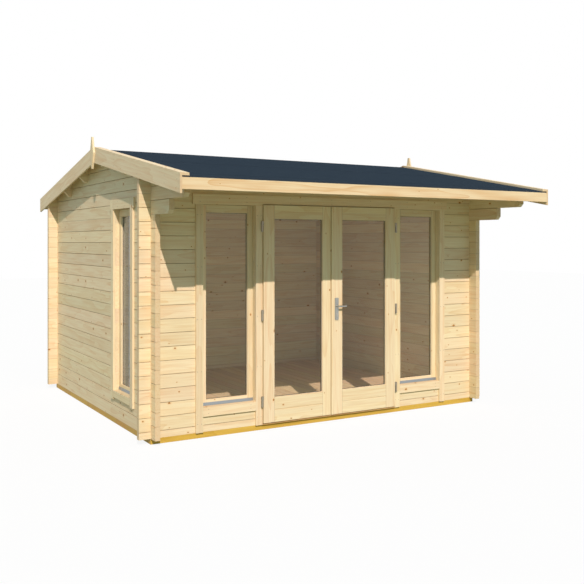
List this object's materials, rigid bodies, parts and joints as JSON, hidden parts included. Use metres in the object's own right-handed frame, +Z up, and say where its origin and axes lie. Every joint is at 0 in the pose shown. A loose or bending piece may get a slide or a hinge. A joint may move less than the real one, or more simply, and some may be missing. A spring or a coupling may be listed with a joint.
{
  "type": "log cabin",
  "caption": "Log cabin with interlocked corner logs, a low gable roof, a deep front overhang on stepped brackets, glazed double doors and tall narrow windows.",
  "frame": {"origin": "on the ground, under the middle of the ridge: the middle of the bounding box's bottom face", "axes": "+Z up, +Y from the door front to the back wall, +X to the right as one looks at the doors from outside"},
  "size_m": [3.768, 4.18, 2.629],
  "materials": {
    "beam_wood": "green-tinted treated softwood, sawn",
    "floor_wood": "planed softwood boards, unpainted",
    "log_wood": "planed softwood with small knots, unpainted",
    "board_wood": "planed tongue and groove softwood",
    "trim_wood": "planed softwood boards with knots",
    "frame_wood": "planed softwood",
    "threshold_wood": "planed hardwood",
    "door_wood": "planed laminated softwood",
    "felt": "matt mineral roofing felt, dark blue-grey",
    "window_glass": "clear double glazing",
    "door_glass": "clear double glazing",
    "drip_metal": "satin, anodised",
    "hinge_metal": "zinc plated",
    "handle_metal": "satin, anodised",
    "lock_metal": "satin nickel plate"
  },
  "bodies": {
    "cabin": {"long_base_beams": "beam_wood", "floor_bearers": "beam_wood", "floor": "floor_wood", "front_wall_right": "log_wood", "front_wall_left": "log_wood", "front_wall_header": "log_wood", "back_wall": "log_wood", "right_gable_wall": "log_wood", "left_gable_wall": "log_wood", "right_gable_top": "log_wood", "left_gable_top": "log_wood", "purlins": "log_wood", "front_roof_boards": "board_wood", "back_roof_boards": "board_wood", "roof_felt": "felt", "front_bargeboards": "trim_wood", "back_bargeboards": "trim_wood", "front_barge_caps": "trim_wood", "back_barge_caps": "trim_wood", "finials": "trim_wood", "fascias": "trim_wood", "front_casings": "trim_wood", "head_board": "trim_wood", "sill_boards": "trim_wood", "front_window_frames": "frame_wood", "front_window_sashes": "frame_wood", "gable_window_frame": "frame_wood", "gable_window_sash": "frame_wood", "gable_window_casings": "trim_wood", "window_glass": "window_glass", "window_drips": "drip_metal", "door_frame": "frame_wood", "threshold": "threshold_wood", "frame_hinges": "hinge_metal"},
    "left_door": {"left_leaf": "door_wood", "left_leaf_glass": "door_glass", "left_leaf_hinges": "hinge_metal"},
    "right_door": {"right_leaf": "door_wood", "right_leaf_glass": "door_glass", "right_leaf_hinges": "hinge_metal", "meeting_strip": "door_wood", "handle_plates": "handle_metal", "lock_cylinder": "lock_metal"},
    "handle": {"lever": "handle_metal"}
  },
  "joints": [
    {"name": "left_door_swing", "type": "hinge", "parent": "cabin", "child": "left_door", "pos_m": [-0.735, -1.223, 1.007], "axis": [0, 0, -1], "range_deg": [0, 110]},
    {"name": "right_door_swing", "type": "hinge", "parent": "cabin", "child": "right_door", "pos_m": [0.735, -1.223, 1.007], "axis": [0, 0, 1], "range_deg": [0, 110]},
    {"name": "lever_turn", "type": "hinge", "parent": "right_door", "child": "handle", "pos_m": [0.043, -1.224, 1.057], "axis": [0, 1, 0], "range_deg": [0, 40], "stiffness_Nm_per_rad": 1.5, "springref_deg": -17.19}
  ]
}
